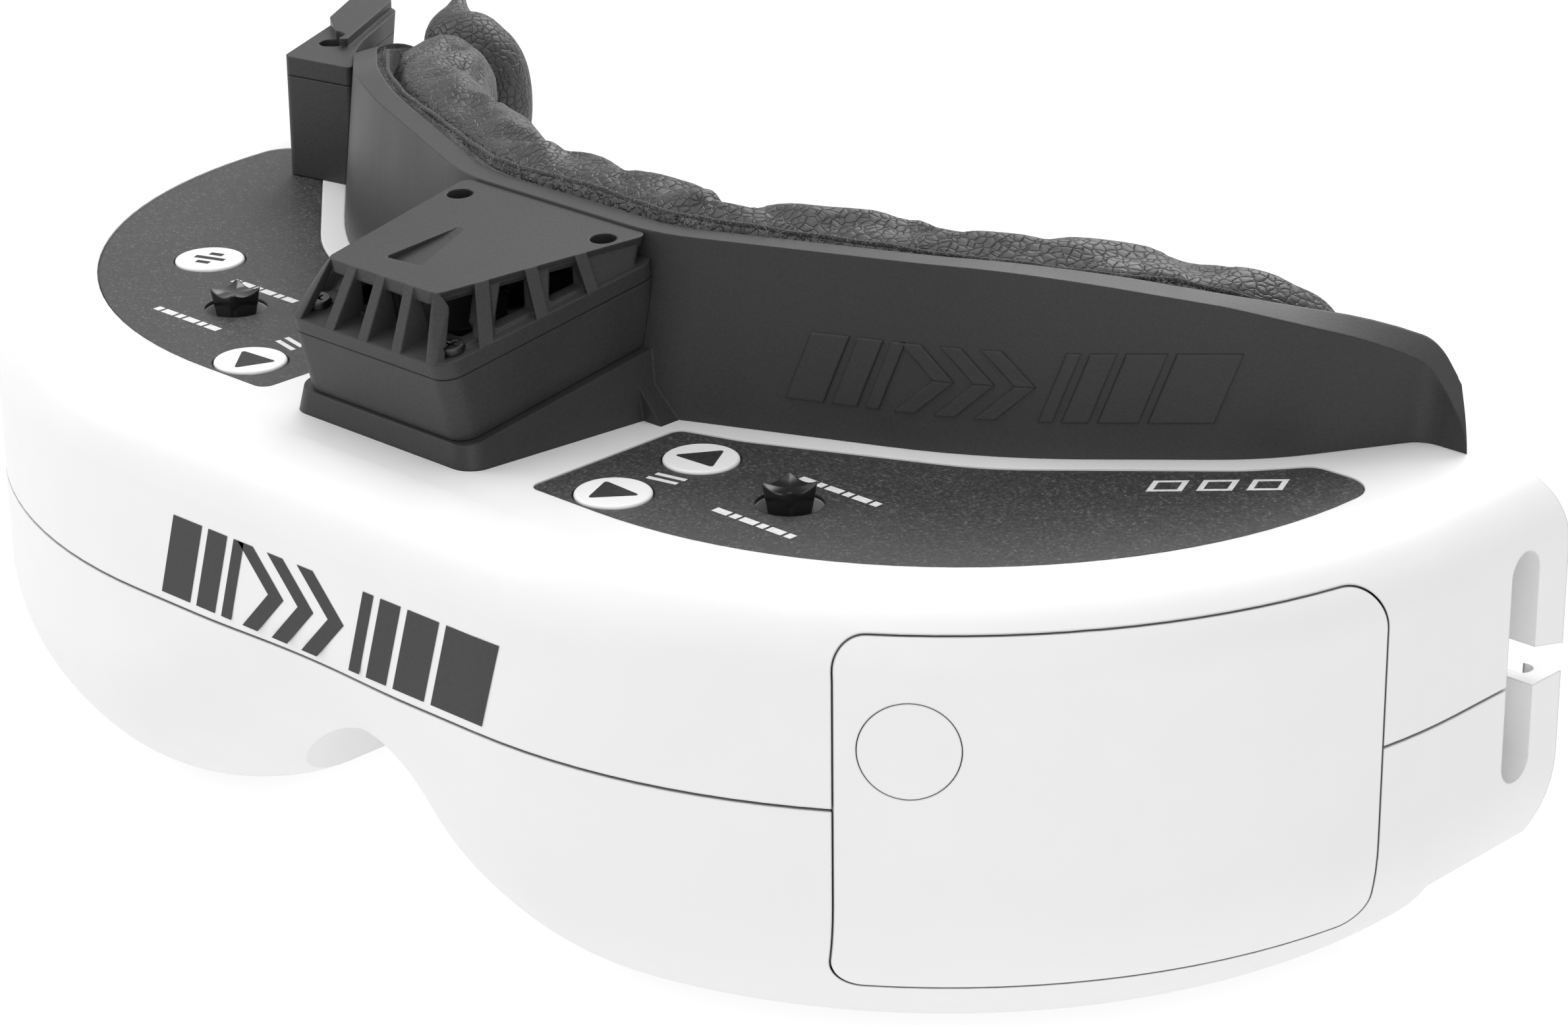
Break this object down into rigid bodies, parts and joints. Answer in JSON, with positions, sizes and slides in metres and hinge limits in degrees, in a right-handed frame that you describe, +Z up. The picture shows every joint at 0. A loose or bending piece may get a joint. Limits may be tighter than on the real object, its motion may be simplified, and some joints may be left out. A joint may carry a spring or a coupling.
{
  "type": "fpv goggles",
  "caption": "Video goggles with two sliding eyepieces, a padded face ring, a vented fan pod, deck buttons and sticks, and a lift-off receiver bay door.",
  "frame": {"origin": "middle of the bottom of the object's box, on the surface that the two lobes rest on", "axes": "+Z up, -Y to the front (away from the wearer), +X to the wearer's left"},
  "size_m": [0.18, 0.09, 0.0657],
  "materials": {
    "shell_white": "satin",
    "label_black": "textured, sparkling",
    "button_white": "satin",
    "stick_black": "gloss",
    "stick_base_grey": "matte",
    "pod_black": "fine grain",
    "fan_black": "satin",
    "screw_steel": "black oxide",
    "plate_black": "matte",
    "hook_fabric": "fuzzy hook tape",
    "pad_leather": "grained",
    "lens_glass": "polished",
    "display_glass": "gloss",
    "board_green": "solder mask",
    "optics_black": "matte",
    "rail_steel": "ground",
    "tray_black": "matte",
    "header_black": "matte",
    "socket_steel": "stamped",
    "jack_black": "satin",
    "switch_steel": "stamped"
  },
  "bodies": {
    "casing": {"bay_header": "header_black", "bay_tray": "tray_black", "button_switches": "switch_steel", "card_slot": "socket_steel", "face_pad": "pad_leather", "face_plate": "plate_black", "fan_cover": "pod_black", "fan_frame": "fan_black", "fan_housing": "pod_black", "fan_power_lid": "pod_black", "fan_power_pod": "pod_black", "fan_screws": "screw_steel", "hdmi_socket": "socket_steel", "hook_strip": "hook_fabric", "left_control_board": "board_green", "left_ipd_rail": "rail_steel", "left_label": "label_black", "lower_shell": "shell_white", "main_board": "board_green", "menu_stick_base": "stick_base_grey", "phones_jack": "jack_black", "pod_screw": "screw_steel", "power_jack": "jack_black", "record_stick_base": "stick_base_grey", "right_control_board": "board_green", "right_ipd_rail": "rail_steel", "right_label": "label_black", "upper_shell": "shell_white", "video_jack": "jack_black"},
    "bay_door": {"bay_door": "shell_white", "antenna_plug": "shell_white"},
    "fan_rotor": {"fan_rotor": "fan_black"},
    "channel_up_button": {"channel_up_button": "button_white"},
    "channel_down_button": {"channel_down_button": "button_white"},
    "volume_up_button": {"volume_up_button": "button_white"},
    "volume_down_button": {"volume_down_button": "button_white"},
    "head_tracker_button": {"head_tracker_button": "button_white"},
    "menu_stick_ring": {"menu_stick_ring": "stick_black"},
    "menu_stick_stem": {"menu_stick_stem": "stick_black"},
    "menu_stick_cap": {"menu_stick_cap": "stick_black"},
    "record_stick_ring": {"record_stick_ring": "stick_black"},
    "record_stick_stem": {"record_stick_stem": "stick_black"},
    "record_stick_cap": {"record_stick_cap": "stick_black"},
    "left_optics": {"left_barrel": "optics_black", "left_lens": "lens_glass", "left_carriage": "optics_black", "left_display": "display_glass", "left_display_board": "board_green", "left_ipd_knob": "optics_black"},
    "right_optics": {"right_barrel": "optics_black", "right_lens": "lens_glass", "right_carriage": "optics_black", "right_display": "display_glass", "right_display_board": "board_green", "right_ipd_knob": "optics_black"}
  },
  "joints": [
    {"name": "door_lift_off", "type": "slide", "parent": "casing", "child": "bay_door", "axis": [0.8396, -0.5432, 0], "range_m": [0, 0.02]},
    {"name": "channel_up_button_press", "type": "slide", "parent": "casing", "child": "channel_up_button", "axis": [0, 0, -1], "range_m": [0, 0.0004], "stiffness_N_per_m": 600},
    {"name": "channel_down_button_press", "type": "slide", "parent": "casing", "child": "channel_down_button", "axis": [0, 0, -1], "range_m": [0, 0.0004], "stiffness_N_per_m": 600},
    {"name": "volume_up_button_press", "type": "slide", "parent": "casing", "child": "volume_up_button", "axis": [0, 0, -1], "range_m": [0, 0.0004], "stiffness_N_per_m": 600},
    {"name": "volume_down_button_press", "type": "slide", "parent": "casing", "child": "volume_down_button", "axis": [0, 0, -1], "range_m": [0, 0.0004], "stiffness_N_per_m": 600},
    {"name": "head_tracker_button_press", "type": "slide", "parent": "casing", "child": "head_tracker_button", "axis": [0, 0, -1], "range_m": [0, 0.0004], "stiffness_N_per_m": 600},
    {"name": "menu_stick_up_down", "type": "hinge", "parent": "casing", "child": "menu_stick_ring", "pos_m": [0.0402, -0.0181, 0.043], "axis": [1, 0, 0], "range_deg": [-6, 6], "stiffness_Nm_per_rad": 0.02},
    {"name": "menu_stick_left_right", "type": "hinge", "parent": "menu_stick_ring", "child": "menu_stick_stem", "pos_m": [0.0402, -0.0181, 0.043], "axis": [0, 1, 0], "range_deg": [-6, 6], "stiffness_Nm_per_rad": 0.02},
    {"name": "menu_stick_press", "type": "slide", "parent": "menu_stick_stem", "child": "menu_stick_cap", "axis": [0, 0, -1], "range_m": [0, 0.0003], "stiffness_N_per_m": 600},
    {"name": "record_stick_up_down", "type": "hinge", "parent": "casing", "child": "record_stick_ring", "pos_m": [-0.0402, -0.0181, 0.043], "axis": [1, 0, 0], "range_deg": [-6, 6], "stiffness_Nm_per_rad": 0.02},
    {"name": "record_stick_left_right", "type": "hinge", "parent": "record_stick_ring", "child": "record_stick_stem", "pos_m": [-0.0402, -0.0181, 0.043], "axis": [0, 1, 0], "range_deg": [-6, 6], "stiffness_Nm_per_rad": 0.02},
    {"name": "record_stick_press", "type": "slide", "parent": "record_stick_stem", "child": "record_stick_cap", "axis": [0, 0, -1], "range_m": [0, 0.0003], "stiffness_N_per_m": 600},
    {"name": "left_eye_spacing", "type": "slide", "parent": "casing", "child": "left_optics", "axis": [1, 0, 0], "range_m": [-0.0025, 0.0025]},
    {"name": "right_eye_spacing", "type": "slide", "parent": "casing", "child": "right_optics", "axis": [1, 0, 0], "range_m": [-0.0025, 0.0025]},
    {"name": "fan_spin", "type": "hinge", "parent": "casing", "child": "fan_rotor", "pos_m": [0, -0.0211, 0.05162], "axis": [0, -0.1822, 0.9833], "continuous": true}
  ]
}
